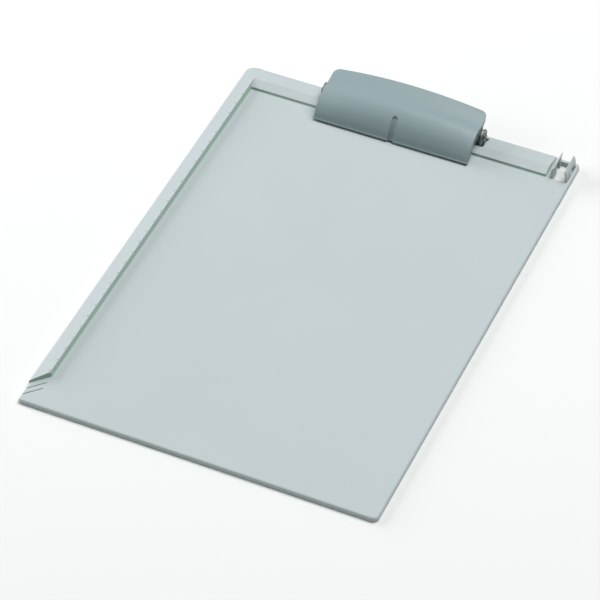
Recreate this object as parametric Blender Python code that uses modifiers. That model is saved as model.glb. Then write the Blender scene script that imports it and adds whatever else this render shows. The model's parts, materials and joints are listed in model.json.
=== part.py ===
"""An A4 clipboard: a moulded board with a raised rail, a sprung lever clip and a pen holder.

The origin is the centre of the board's underside. +X points to the pen holder's side, +Y to the clip and
+Z up out of the writing surface. The sizes below are in millimetres, and every shape is built in metres.
"""

import math

import bmesh
import bpy
from mathutils import Matrix, Vector

MM = 0.001

# Board: an A4 sheet (210 x 297) lies on it with a few millimetres to spare inside the rails.
BOARD_WIDTH = 231.6
BOARD_LENGTH = 325.5
SURFACE_Z = 3.4
RAIL_Z = 7.2
STOCK_Z = 8.5
CORNER_RADII = (2.0, 3.5, 3.0, 7.2)
EDGE_CHAMFER = 0.4

# Left rail: a drafted inner wall, and a top that falls towards the outer edge.
RAIL_WALL_FOOT_X = -105.5
RAIL_WALL_TOP_X = -106.3
RAIL_OUTER_Z = 5.0
RAIL_END_DIAGONAL = -32.25
RAIL_END_X = (-120.0, -100.0)
GROOVE_DIAGONALS = (-37.85, -43.05)
GROOVE_CENTRE_X = -110.4
GROOVE_HALF_LENGTH = 6.5
GROOVE_WIDTH = 0.7
GROOVE_DEPTH = 0.4

# Header rail across the clip's end.
HEADER_FRONT_Y = 142.65
HEADER_STEP_Y = 143.15
HEADER_STEP_Z = 5.1
HEADER_RIDGE_Y = 149.25
HEADER_REAR_Z = 4.1
HEADER_END_X = 99.5

# Clip and its hinge. Places along X are measured from the clip's own centre.
CLIP_X = -2.9
PIVOT_Y = 154.15
PIVOT_Z = 10.2
POCKET_HALF_WIDTH = 57.5
POCKET_Y = (148.55, 159.65)
POCKET_FLOOR_Z = 2.8
CLIP_HALF_WIDTH = 53.3
CLIP_GRID_HALF_WIDTH = CLIP_HALF_WIDTH + 2.0
CLIP_WALL = 2.2
CLIP_CROWN = 0.22
CLIP_CORNER_RADIUS = 5.1
CLIP_REAR_Y = 167.15
CLIP_PLAN_SPARE = 8.0
LIP_Z = 4.7
CLIP_PROFILE = (
    (131.15, 3.7),
    (134.35, 9.6),
    (139.35, 14.5),
    (146.95, 17.8),
    (155.65, 18.1),
    (162.75, 19.3),
    (169.85, 20.5),
)
CHEEK_INSET = 0.2
CHEEK_WALL = 2.0
CHEEK_FRONT = ((146.65, 12.8), (140.85, 9.6), (138.55, 6.8), (136.45, 5.3), (135.35, 4.0), (133.45, 4.0))
INNER_RIB_X = 13.0
RIB_REAR = ((162.35, 16.5), (159.45, 14.7))
LUG_RADIUS = 4.4
JAW_BAR_Y = (132.15, 135.95)
JAW_BAR_TOP_Z = 8.6
CLIP_GROOVE_WIDTH = 3.5
CLIP_GROOVE_TOP_Y = 140.75
CLIP_GROOVE_DEPTH = 0.7
STRIP_Y = (132.15, 135.65)
STRIP_Z = (3.7, 4.4)
STRIP_HALF_LENGTH = 52.6

# Steel hinge parts.
AXLE_RADIUS = 1.4
AXLE_HOLE_RADIUS = 1.75
AXLE_HALF_LENGTH = 57.2
BRACKET_Y = (148.95, 159.35)
BRACKET_FLOOR_Z = (3.1, 4.1)
BRACKET_FLANGE_Z = 6.1
BRACKET_FLANGE_WALL = 1.0
BRACKET_HALF_LENGTH = 55.8
BRACKET_EAR_WALL = 1.2
BRACKET_EAR_RADIUS = 5.2
CAP_RADIUS = 2.9
CAP_SPAN = (56.1, 56.9)
CAP_CLEARANCE = 0.3
RIVET_X = 27.4
RIVET_HOLE_RADIUS = 2.1
RIVET_COUNTERBORE_RADIUS = 3.9
RIVET_COUNTERBORE_Z = 1.3
RIVET_PROFILE = (
    (0.0, 5.3),
    (1.6, 5.2),
    (2.8, 4.8),
    (3.1, 4.4),
    (1.8, 4.4),
    (1.8, 1.0),
    (3.1, 1.0),
    (3.3, 0.7),
    (2.8, 0.3),
    (0.0, 0.3),
)
SPRING_WIRE_RADIUS = 0.7
SPRING_COIL_RADIUS = 3.0
SPRING_TURNS = 6.0
SPRING_PITCH = 1.75
SPRING_OUTER_X = 49.2
SPRING_ANCHOR = (156.95, 13.8)
SPRING_ANCHOR_HOLE_RADIUS = 1.05
SPRING_REST_Y = 160.75
SPRING_LEG_PROUD = 0.2

# Pen holder: two leaves that stand in a window through the board.
PEN_X = 108.1
PEN_WINDOW_HALF_WIDTH = 5.7
PEN_WINDOW_Y = (142.85, 159.95)
LEAF_Y = (143.15, 159.65)
LEAF_ARCH_Y = (151.15, 157.05)
LEAF_ARCH_Z = 7.2
LEAF_SECTION = (
    (4.15, 0.3),
    (4.2, 3.7),
    (4.3, 7.0),
    (3.85, 10.0),
    (3.45, 11.5),
    (3.6, 11.9),
    (3.95, 11.8),
    (4.9, 10.2),
    (5.35, 7.0),
    (5.35, 0.3),
)
LEAF_FLEX_Z = 1.8

# How far the cutters run past what they cut: on both sides, below and above.
CUTTER_REACH = 170.0
CUTTER_LOW_Z = -2.0
CUTTER_HIGH_Z = 40.0

PART_COLLECTION = "clipboard"
CUTTER_COLLECTION = "cutters"

# Frames that turn a flat outline's own X, Y and thickness into the object's axes.
SIDE_SECTION = Matrix(((0, 0, 1, 0), (1, 0, 0, 0), (0, 1, 0, 0), (0, 0, 0, 1)))
END_SECTION = Matrix(((1, 0, 0, 0), (0, 0, -1, 0), (0, 1, 0, 0), (0, 0, 0, 1)))
PLAN = Matrix.Identity(4)


def clear_scene():
    for obj in list(bpy.data.objects):
        bpy.data.objects.remove(obj, do_unlink=True)


def make_collection(name):
    collection = bpy.data.collections.new(name)
    bpy.context.scene.collection.children.link(collection)
    return collection


def make_material(name, color, roughness, metallic):
    material = bpy.data.materials.new(name)
    material.use_nodes = True
    shader = material.node_tree.nodes["Principled BSDF"]
    shader.inputs["Base Color"].default_value = (*color, 1.0)
    shader.inputs["Roughness"].default_value = roughness
    shader.inputs["Metallic"].default_value = metallic
    return material


def make_materials():
    return {
        "board": make_material("board_plastic", (0.56, 0.62, 0.63), 0.55, 0.0),
        "clip": make_material("clip_plastic", (0.36, 0.42, 0.45), 0.42, 0.0),
        "rubber": make_material("grip_rubber", (0.03, 0.035, 0.035), 0.8, 0.0),
        "bracket": make_material("bracket_steel", (0.42, 0.45, 0.45), 0.38, 1.0),
        "axle": make_material("axle_steel", (0.68, 0.68, 0.66), 0.22, 1.0),
        "spring": make_material("spring_steel", (0.58, 0.58, 0.56), 0.3, 1.0),
        "rivet": make_material("rivet_aluminium", (0.72, 0.73, 0.73), 0.35, 1.0),
    }


def new_object(name, mesh, collection, material=None):
    obj = bpy.data.objects.new(name, mesh)
    collection.objects.link(obj)
    if material is not None:
        mesh.materials.clear()
        mesh.materials.append(material)
    if collection.name == CUTTER_COLLECTION:
        obj.hide_render = True
        obj.display_type = "WIRE"
    return obj


def scaled(values):
    return [value * MM for value in values]


def parent_on_axis(name, place, collection, *pieces):
    """Hangs pieces on an empty that stands on their joint's axis, at a place in millimetres."""
    empty = bpy.data.objects.new(name, None)
    empty.empty_display_size = 0.01
    empty.location = scaled(place)
    collection.objects.link(empty)
    bpy.context.view_layer.update()
    for piece in pieces:
        piece.parent = empty
        piece.matrix_parent_inverse = empty.matrix_world.inverted()


def block(name, low, high, collection, material=None):
    """A box between two corners given in millimetres."""
    bm = bmesh.new()
    bmesh.ops.create_cube(bm, size=1.0)
    low = Vector(scaled(low))
    high = Vector(scaled(high))
    bmesh.ops.scale(bm, vec=high - low, verts=bm.verts)
    bmesh.ops.translate(bm, vec=(low + high) / 2, verts=bm.verts)
    mesh = bpy.data.meshes.new(name)
    bm.to_mesh(mesh)
    bm.free()
    return new_object(name, mesh, collection, material)


def rod(name, start, end, radius, collection, material=None, segments=32):
    """A round bar between two points given in millimetres."""
    start = Vector(scaled(start))
    end = Vector(scaled(end))
    bm = bmesh.new()
    radius *= MM
    length = (end - start).length
    sizes = {"segments": segments, "radius1": radius, "radius2": radius, "depth": length}
    bmesh.ops.create_cone(bm, cap_ends=True, **sizes)
    turn = Vector((0, 0, 1)).rotation_difference(end - start).to_matrix()
    bmesh.ops.rotate(bm, cent=(0, 0, 0), matrix=turn, verts=bm.verts)
    bmesh.ops.translate(bm, vec=(start + end) / 2, verts=bm.verts)
    mesh = bpy.data.meshes.new(name)
    bm.to_mesh(mesh)
    bm.free()
    mesh.shade_smooth()
    mesh.set_sharp_from_angle(angle=math.radians(40))
    return new_object(name, mesh, collection, material)


def curve_to_mesh(curve_object, collection, material=None):
    """Turns a curve object into a mesh object with its caps welded, and removes the curve."""
    bpy.context.view_layer.update()
    name = curve_object.name
    matrix = curve_object.matrix_world.copy()
    evaluated = curve_object.evaluated_get(bpy.context.evaluated_depsgraph_get())
    mesh = bpy.data.meshes.new_from_object(evaluated)
    bpy.data.objects.remove(curve_object, do_unlink=True)
    bm = bmesh.new()
    bm.from_mesh(mesh)
    bmesh.ops.remove_doubles(bm, verts=bm.verts, dist=0.00001)
    bmesh.ops.recalc_face_normals(bm, faces=bm.faces)
    bm.to_mesh(mesh)
    bm.free()
    mesh.name = name
    obj = new_object(name, mesh, collection, material)
    obj.matrix_world = matrix
    return obj


def plate(name, outline, frame, span, collection, material=None):
    """A flat outline in millimetres, as thick as its span along the frame's third axis."""
    curve = bpy.data.curves.new(name, "CURVE")
    curve.dimensions = "2D"
    curve.fill_mode = "BOTH"
    curve.extrude = (span[1] - span[0]) / 2 * MM
    spline = curve.splines.new("POLY")
    spline.points.add(len(outline) - 1)
    spline.use_cyclic_u = True
    for point, (u, v) in zip(spline.points, outline):
        point.co = (u * MM, v * MM, 0.0, 1.0)
    obj = bpy.data.objects.new(name, curve)
    bpy.context.scene.collection.objects.link(obj)
    obj.matrix_world = frame @ Matrix.Translation((0, 0, (span[0] + span[1]) / 2 * MM))
    return curve_to_mesh(obj, collection, material)


def wire(name, points, radius, collection, material):
    """A round wire through points in millimetres."""
    curve = bpy.data.curves.new(name, "CURVE")
    curve.dimensions = "3D"
    curve.bevel_depth = radius * MM
    curve.bevel_resolution = 2
    curve.use_fill_caps = True
    spline = curve.splines.new("POLY")
    spline.points.add(len(points) - 1)
    for point, place in zip(spline.points, points):
        point.co = (*scaled(place), 1.0)
    obj = bpy.data.objects.new(name, curve)
    bpy.context.scene.collection.objects.link(obj)
    result = curve_to_mesh(obj, collection, material)
    result.data.shade_smooth()
    return result


def combine(obj, other, operation):
    modifier = obj.modifiers.new(operation.lower(), "BOOLEAN")
    modifier.operation = operation
    modifier.solver = "EXACT"
    modifier.object = other


def weld(obj):
    """Closes the slivers that crossing cuts leave."""
    modifier = obj.modifiers.new("weld", "WELD")
    modifier.merge_threshold = 0.00002


def merge_flats(obj):
    """Joins faces that lie in one plane, so that no needle triangles are left along their shared edges."""
    modifier = obj.modifiers.new("flats", "DECIMATE")
    modifier.decimate_type = "DISSOLVE"
    modifier.angle_limit = math.radians(0.1)


def cut(obj, *cutters):
    for cutter in cutters:
        combine(obj, cutter, "DIFFERENCE")


def join(obj, *pieces):
    for piece in pieces:
        combine(obj, piece, "UNION")


def arc(centre, radius, start, end, steps):
    """Points on an arc, with its angles in degrees."""
    angles = [math.radians(start + (end - start) * i / steps) for i in range(steps + 1)]
    return [(centre[0] + radius * math.cos(a), centre[1] + radius * math.sin(a)) for a in angles]


def rounded_rectangle(low, high, radii, steps=6):
    """An outline that runs from the lower left corner to the right and round, one radius a corner."""
    corners = ((low[0], low[1]), (high[0], low[1]), (high[0], high[1]), (low[0], high[1]))
    outline = []
    for turn, ((x, y), radius) in enumerate(zip(corners, radii)):
        centre = (x + radius if x == low[0] else x - radius, y + radius if y == low[1] else y - radius)
        outline += arc(centre, radius, 180 + 90 * turn, 270 + 90 * turn, steps)
    return outline


def smooth_path(points, steps):
    """A Catmull-Rom curve through the points, each stretch in equal steps."""
    knots = [Vector(point) for point in points]
    knots.insert(0, 2 * knots[0] - knots[1])
    knots.append(2 * knots[-1] - knots[-2])
    path = []
    for i in range(1, len(knots) - 2):
        p0, p1, p2, p3 = knots[i - 1 : i + 3]
        square = 2 * p0 - 5 * p1 + 4 * p2 - p3
        cube = 3 * p1 - p0 - 3 * p2 + p3
        for step in range(steps):
            t = step / steps
            path.append(p1 + ((p2 - p0) * t + square * t**2 + cube * t**3) / 2)
    path.append(knots[-2])
    return path


def rail_wall_x(z):
    """Where the left rail's drafted inner wall stands at height z."""
    slope = (RAIL_WALL_TOP_X - RAIL_WALL_FOOT_X) / (RAIL_Z - SURFACE_Z)
    return RAIL_WALL_FOOT_X + slope * (z - SURFACE_Z)


def build_field_cutter(cutters):
    """All that stands above the writing surface and the header's front facet, up to the left rail."""
    facet_run = HEADER_RIDGE_Y - HEADER_STEP_Y
    facet_rise = RAIL_Z - HEADER_STEP_Z
    outline = [
        (-CUTTER_REACH, SURFACE_Z),
        (HEADER_FRONT_Y, SURFACE_Z),
        (HEADER_STEP_Y, HEADER_STEP_Z),
        (HEADER_RIDGE_Y + facet_run, RAIL_Z + facet_rise),
        (HEADER_RIDGE_Y + facet_run, CUTTER_HIGH_Z),
        (-CUTTER_REACH, CUTTER_HIGH_Z),
    ]
    field = plate("field_cutter", outline, SIDE_SECTION, (RAIL_WALL_FOOT_X, CUTTER_REACH), cutters)
    inverse = field.matrix_world.inverted()
    for vertex in field.data.vertices:
        place = field.matrix_world @ vertex.co
        if place.x < 0:
            place.x = rail_wall_x(place.z / MM) * MM
            vertex.co = inverse @ place
    return field


def slope_cutter(name, start, end, frame, cutters):
    """Everything above the straight line through two points of a section, carried on past both."""
    run = Vector(end) - Vector(start)
    low = Vector(start) - 3 * run
    high = Vector(end) + 3 * run
    outline = [tuple(low), tuple(high), (high.x, CUTTER_HIGH_Z), (low.x, CUTTER_HIGH_Z)]
    return plate(name, outline, frame, (-CUTTER_REACH, CUTTER_REACH), cutters)


def diagonal_groove(name, diagonal, cutters):
    """A shallow engraved line at 45 degrees across the foot of the left rail."""
    centre = Vector((GROOVE_CENTRE_X, GROOVE_CENTRE_X + diagonal))
    along = Vector((1, 1)).normalized() * GROOVE_HALF_LENGTH
    across = Vector((-1, 1)).normalized() * GROOVE_WIDTH / 2
    corners = (-along - across, along - across, along + across, across - along)
    outline = [tuple(centre + corner) for corner in corners]
    return plate(name, outline, PLAN, (SURFACE_Z - GROOVE_DEPTH, STOCK_Z), cutters)


def build_board(parts, cutters, material):
    half_x = BOARD_WIDTH / 2
    half_y = BOARD_LENGTH / 2
    outline = rounded_rectangle((-half_x, -half_y), (half_x, half_y), CORNER_RADII)
    board = plate("board", outline, PLAN, (0.0, STOCK_Z), parts, material)
    chamfer = board.modifiers.new("edge_chamfer", "BEVEL")
    chamfer.width = EDGE_CHAMFER * MM
    chamfer.segments = 1
    chamfer.limit_method = "ANGLE"
    chamfer.angle_limit = math.radians(50)
    ridge = (HEADER_RIDGE_Y, RAIL_Z)
    rear = slope_cutter("header_rear_cutter", ridge, (half_y, HEADER_REAR_Z), SIDE_SECTION, cutters)
    rail_edge = (-half_x, RAIL_OUTER_Z)
    left = slope_cutter("rail_slope_cutter", rail_edge, (RAIL_WALL_TOP_X, RAIL_Z), END_SECTION, cutters)
    rail_end = [(x, x + RAIL_END_DIAGONAL) for x in reversed(RAIL_END_X)]
    rail_end += [(x, -CUTTER_REACH) for x in RAIL_END_X]
    end_low = (HEADER_END_X, HEADER_FRONT_Y - HEADER_STEP_Z, SURFACE_Z)
    end_high = (CUTTER_REACH, CUTTER_REACH, CUTTER_HIGH_Z)
    pocket_low = (CLIP_X - POCKET_HALF_WIDTH, POCKET_Y[0], POCKET_FLOOR_Z)
    pocket_high = (CLIP_X + POCKET_HALF_WIDTH, POCKET_Y[1], CUTTER_HIGH_Z)
    window_low = (PEN_X - PEN_WINDOW_HALF_WIDTH, PEN_WINDOW_Y[0], CUTTER_LOW_Z)
    window_high = (PEN_X + PEN_WINDOW_HALF_WIDTH, PEN_WINDOW_Y[1], CUTTER_HIGH_Z)
    cut(
        board,
        rear,
        left,
        build_field_cutter(cutters),
        block("header_end_cutter", end_low, end_high, cutters),
        plate("rail_end_cutter", rail_end, PLAN, (SURFACE_Z, CUTTER_HIGH_Z), cutters),
        block("pocket_cutter", pocket_low, pocket_high, cutters),
        block("pen_window_cutter", window_low, window_high, cutters),
    )
    for index, diagonal in enumerate(GROOVE_DIAGONALS):
        cut(board, diagonal_groove(f"groove_cutter_{index}", diagonal, cutters))
    for side in (-1, 1):
        x = CLIP_X + side * RIVET_X
        below = (x, PIVOT_Y, CUTTER_LOW_Z)
        above = (x, PIVOT_Y, STOCK_Z)
        counterbore_end = (x, PIVOT_Y, RIVET_COUNTERBORE_Z)
        cut(
            board,
            rod(f"rivet_hole_{side}", below, above, RIVET_HOLE_RADIUS, cutters),
            rod(f"rivet_counterbore_{side}", below, counterbore_end, RIVET_COUNTERBORE_RADIUS, cutters),
        )
    weld(board)
    merge_flats(board)


def axle_line(half_length):
    """The two ends of a line on the clip's pivot axis."""
    return [(CLIP_X + side * half_length, PIVOT_Y, PIVOT_Z) for side in (-1, 1)]


def clip_section(across):
    """The lever's outer section in Y and Z. Across runs from -1 to 1, and the middle stands higher."""
    crown = 1 + CLIP_CROWN * (1 - across**2)
    foot_z = CLIP_PROFILE[0][1]
    path = smooth_path(CLIP_PROFILE, 4)
    return [Vector((point.x, foot_z + (point.y - foot_z) * crown)) for point in path]


def build_clip_shell(parts, material):
    """The crowned shell: a grid laid over the outer surface, thickened downwards."""
    columns = 16
    rows = len(clip_section(0.0)) - 1
    bm = bmesh.new()
    bmesh.ops.create_grid(bm, x_segments=columns, y_segments=rows, size=1.0)
    sections = [clip_section(2 * i / columns - 1) for i in range(columns + 1)]
    for vertex in bm.verts:
        column = round((vertex.co.x + 1) / 2 * columns)
        row = round((vertex.co.y + 1) / 2 * rows)
        point = sections[column][row]
        vertex.co = Vector(scaled((CLIP_X + vertex.co.x * CLIP_GRID_HALF_WIDTH, point.x, point.y)))
    mesh = bpy.data.meshes.new("clip_lever")
    bm.to_mesh(mesh)
    bm.free()
    shell = new_object("clip_lever", mesh, parts, material)
    wall = shell.modifiers.new("wall", "SOLIDIFY")
    wall.thickness = CLIP_WALL * MM
    wall.offset = -1.0
    wall.use_even_offset = True
    return shell


def rib_outline(x, reaches_jaw):
    """A rib under the shell at x: along the middle of the wall, and back round the pivot lug."""
    path = clip_section(x / CLIP_GRID_HALF_WIDTH)[:-3]
    top = []
    for before, here, after in zip(path, path[1:], path[2:]):
        run = (after - before).normalized()
        top.append((here.x + run.y * CLIP_WALL / 2, here.y - run.x * CLIP_WALL / 2))
    top = [point for point in top if point[1] > LIP_Z + 2.0 and (reaches_jaw or point[0] > PIVOT_Y - 8.0)]
    lug = arc((PIVOT_Y, PIVOT_Z), LUG_RADIUS, 20, -200, 14)
    front = CHEEK_FRONT if reaches_jaw else ()
    return [*top, *RIB_REAR, *lug, *front]


def build_clip(parts, cutters, material):
    lever = build_clip_shell(parts, material)
    low_x = CLIP_X - CLIP_HALF_WIDTH
    high_x = CLIP_X + CLIP_HALF_WIDTH
    cheek_outer = CLIP_HALF_WIDTH - CHEEK_INSET
    cheek = rib_outline(cheek_outer, True)
    rib = rib_outline(INNER_RIB_X, False)
    for side in (-1, 1):
        spans = {
            "cheek": (cheek, sorted((side * cheek_outer, side * (cheek_outer - CHEEK_WALL)))),
            "rib": (rib, (side * INNER_RIB_X - CHEEK_WALL / 2, side * INNER_RIB_X + CHEEK_WALL / 2)),
        }
        for name, (outline, span) in spans.items():
            span = (CLIP_X + span[0], CLIP_X + span[1])
            join(lever, plate(f"{name}_{side}", outline, SIDE_SECTION, span, cutters))
    jaw_low = (low_x + 1.0, JAW_BAR_Y[0], LIP_Z - 1.0)
    jaw_high = (high_x - 1.0, JAW_BAR_Y[1], JAW_BAR_TOP_Z)
    join(lever, block("jaw_bar", jaw_low, jaw_high, cutters))
    plan_radii = (0.5, 0.5, CLIP_CORNER_RADIUS, CLIP_CORNER_RADIUS)
    plan = rounded_rectangle((low_x, JAW_BAR_Y[0] - CLIP_PLAN_SPARE), (high_x, CLIP_REAR_Y), plan_radii)
    combine(lever, plate("clip_plan", plan, PLAN, (LIP_Z, CUTTER_HIGH_Z), cutters), "INTERSECT")
    weld(lever)
    cut(lever, build_clip_groove(cutters))
    cut(lever, rod("lever_axle_hole", *axle_line(POCKET_HALF_WIDTH), AXLE_HOLE_RADIUS, cutters))
    for side in (-1, 1):
        anchor_reach = (SPRING_OUTER_X - CHEEK_WALL, POCKET_HALF_WIDTH)
        anchor_ends = [(CLIP_X + side * x, *SPRING_ANCHOR) for x in anchor_reach]
        anchor = rod(f"anchor_hole_{side}", *anchor_ends, SPRING_ANCHOR_HOLE_RADIUS, cutters, segments=16)
        cut(lever, anchor)
    weld(lever)
    return lever


def build_clip_groove(cutters):
    """A round-ended groove down the middle of the lever's front, equally deep all the way."""
    half = CLIP_GROOVE_WIDTH / 2
    top = CLIP_GROOVE_TOP_Y - half
    front = JAW_BAR_Y[0] - CLIP_PLAN_SPARE
    plan = [(CLIP_X - half, front), (CLIP_X + half, front), *arc((CLIP_X, top), half, 0, 180, 8)]
    groove = plate("clip_groove", plan, PLAN, (0.0, CUTTER_HIGH_Z), cutters)
    middle = clip_section(0.0)
    depth = []
    for before, here, after in zip(middle, middle[1:], middle[2:]):
        run = (after - before).normalized()
        depth.append((here.x + run.y * CLIP_GROOVE_DEPTH, here.y - run.x * CLIP_GROOVE_DEPTH))
    toe = (JAW_BAR_Y[0] - CLIP_PLAN_SPARE, CUTTER_LOW_Z)
    above = [toe, *depth, (CUTTER_REACH, CUTTER_HIGH_Z), (toe[0], CUTTER_HIGH_Z)]
    span = (CLIP_X - CLIP_GROOVE_WIDTH, CLIP_X + CLIP_GROOVE_WIDTH)
    combine(groove, plate("clip_groove_depth", above, SIDE_SECTION, span, cutters), "INTERSECT")
    return groove


def build_grip_strip(parts, material):
    low = (CLIP_X - STRIP_HALF_LENGTH, STRIP_Y[0], STRIP_Z[0])
    high = (CLIP_X + STRIP_HALF_LENGTH, STRIP_Y[1], STRIP_Z[1])
    return block("grip_strip", low, high, parts, material)


def build_bracket(parts, cutters, material):
    """A folded steel channel in the header's pocket, with an upright ear for the axle at each end."""
    half = BRACKET_HALF_LENGTH
    floor_half = half - BRACKET_EAR_WALL / 2
    floor_low = (CLIP_X - floor_half, BRACKET_Y[0], BRACKET_FLOOR_Z[0])
    floor_high = (CLIP_X + floor_half, BRACKET_Y[1], BRACKET_FLOOR_Z[1])
    bracket = block("hinge_bracket", floor_low, floor_high, parts, material)
    flange_half = half - BRACKET_EAR_WALL * 1.5
    flange_foot_z = sum(BRACKET_FLOOR_Z) / 2
    for name, low_y in (("front", BRACKET_Y[0]), ("rear", BRACKET_Y[1] - BRACKET_FLANGE_WALL)):
        low = (CLIP_X - flange_half, low_y, flange_foot_z)
        high = (CLIP_X + flange_half, low_y + BRACKET_FLANGE_WALL, BRACKET_FLANGE_Z)
        join(bracket, block(f"bracket_flange_{name}", low, high, cutters))
    ear = [
        (BRACKET_Y[0], BRACKET_FLOOR_Z[0]),
        (BRACKET_Y[1], BRACKET_FLOOR_Z[0]),
        *arc((PIVOT_Y, PIVOT_Z), BRACKET_EAR_RADIUS, 0, 180, 16),
    ]
    for side in (-1, 1):
        span = sorted(CLIP_X + side * x for x in (half, half - BRACKET_EAR_WALL))
        join(bracket, plate(f"bracket_ear_{side}", ear, SIDE_SECTION, span, cutters))
        x = CLIP_X + side * RIVET_X
        ends = [(x, PIVOT_Y, z) for z in (0.0, STOCK_Z)]
        cut(bracket, rod(f"bracket_rivet_hole_{side}", *ends, RIVET_HOLE_RADIUS, cutters))
    cut(bracket, rod("bracket_axle_hole", *axle_line(POCKET_HALF_WIDTH), AXLE_HOLE_RADIUS, cutters))


def build_axle(parts, material):
    rod("hinge_axle", *axle_line(AXLE_HALF_LENGTH), AXLE_RADIUS, parts, material, segments=24)


def turned(name, profile, closed, centre, frame, parts, material, steps=24):
    """A turned piece: a profile of radius and height in millimetres, screwed once round its axis."""
    mesh = bpy.data.meshes.new(name)
    points = [(radius * MM, 0.0, height * MM) for radius, height in profile]
    edges = [(i, (i + 1) % len(points)) for i in range(len(points) if closed else len(points) - 1)]
    mesh.from_pydata(points, edges, [])
    obj = new_object(name, mesh, parts, material)
    screw = obj.modifiers.new("turn", "SCREW")
    screw.steps = steps
    screw.render_steps = steps
    screw.use_merge_vertices = True
    screw.merge_threshold = 0.00001
    obj.matrix_world = Matrix.Translation(scaled(centre)) @ frame
    return obj


def build_axle_caps(parts, material):
    """Push-on washers that keep the axle in the bracket's ears, with their rims turned in."""
    inner, outer = CAP_SPAN
    hole = AXLE_RADIUS + CAP_CLEARANCE
    middle = (inner + outer) / 2
    rim = [(CAP_RADIUS - (outer - middle), outer), (CAP_RADIUS, middle), (CAP_RADIUS, inner)]
    profile = [(hole, outer), *rim, (hole, inner)]
    for side, name in ((-1, "axle_cap_left"), (1, "axle_cap_right")):
        frame = Matrix.Rotation(math.radians(90 * side), 4, "Y")
        turned(name, profile, True, (CLIP_X, PIVOT_Y, PIVOT_Z), frame, parts, material)


def build_rivets(parts, material):
    """Semi-tubular rivets: a low head in the bracket and a clinched tail in the board's counterbore."""
    for side, name in ((-1, "rivet_left"), (1, "rivet_right")):
        centre = (CLIP_X + side * RIVET_X, PIVOT_Y, 0.0)
        turned(name, RIVET_PROFILE, False, centre, Matrix.Identity(4), parts, material)


def build_springs(parts, material):
    for side, name in ((-1, "torsion_spring_left"), (1, "torsion_spring_right")):
        wire(name, torsion_spring_points(side), SPRING_WIRE_RADIUS, parts, material)


def torsion_spring_points(side):
    """From the leg over the bracket's rear flange, round the coil and out through the lever's cheek."""
    points_per_turn = 12
    anchor = Vector(SPRING_ANCHOR) - Vector((PIVOT_Y, PIVOT_Z))
    end_angle = math.atan2(anchor.y, anchor.x) + math.acos(SPRING_COIL_RADIUS / anchor.length)
    swept = 2 * math.pi * (SPRING_TURNS + 1) - (math.pi / 2 + end_angle)
    count = round(swept / (2 * math.pi) * points_per_turn)
    length = swept / (2 * math.pi) * SPRING_PITCH
    inner_x = SPRING_OUTER_X - length
    path = [(inner_x, SPRING_REST_Y, PIVOT_Z - SPRING_COIL_RADIUS)]
    for i in range(count + 1):
        angle = -math.pi / 2 - swept * i / count
        y = PIVOT_Y + SPRING_COIL_RADIUS * math.cos(angle)
        z = PIVOT_Z + SPRING_COIL_RADIUS * math.sin(angle)
        path.append((inner_x + length * i / count, y, z))
    path.append((SPRING_OUTER_X + SPRING_WIRE_RADIUS / 2, *SPRING_ANCHOR))
    path.append((CLIP_HALF_WIDTH + SPRING_LEG_PROUD, *SPRING_ANCHOR))
    return [(CLIP_X + side * x, y, z) for x, y, z in path]


def build_pen_leaf(side, name, parts, cutters, material):
    """An upright leaf of the pen holder, with its foot in the window and an arch under its rear half."""
    outline = [(PEN_X + side * offset, z) for offset, z in LEAF_SECTION]
    leaf = plate(name, outline, END_SECTION, (-LEAF_Y[1], -LEAF_Y[0]), parts, material)
    arch_low = (PEN_X - PEN_WINDOW_HALF_WIDTH, LEAF_ARCH_Y[0], CUTTER_LOW_Z)
    arch_high = (PEN_X + PEN_WINDOW_HALF_WIDTH, LEAF_ARCH_Y[1], LEAF_ARCH_Z)
    cut(leaf, block(f"leaf_arch_{side}", arch_low, arch_high, cutters))
    foot_x = PEN_X + side * (LEAF_SECTION[0][0] + LEAF_SECTION[-1][0]) / 2
    parent_on_axis(f"{name}_flex", (foot_x, sum(LEAF_Y) / 2, LEAF_FLEX_Z), parts, leaf)


def main():
    clear_scene()
    parts = make_collection(PART_COLLECTION)
    cutters = make_collection(CUTTER_COLLECTION)
    materials = make_materials()
    build_board(parts, cutters, materials["board"])
    build_pen_leaf(-1, "pen_leaf_left", parts, cutters, materials["board"])
    build_pen_leaf(1, "pen_leaf_right", parts, cutters, materials["board"])
    lever = build_clip(parts, cutters, materials["clip"])
    strip = build_grip_strip(parts, materials["rubber"])
    parent_on_axis("clip_pivot", (CLIP_X, PIVOT_Y, PIVOT_Z), parts, lever, strip)
    build_bracket(parts, cutters, materials["bracket"])
    build_axle(parts, materials["axle"])
    build_axle_caps(parts, materials["spring"])
    build_rivets(parts, materials["rivet"])
    build_springs(parts, materials["spring"])


main()
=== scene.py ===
"""The finish of an A4 clipboard: its moulded board, sprung lever, steel hinge and pen holder.

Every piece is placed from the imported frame. The origin is the centre of the board's underside,
+X points to the pen holder's side, +Y to the clip and +Z up out of the writing surface.
"""

import json
import math

import bmesh
import bpy
from mathutils import Matrix, Vector


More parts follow.
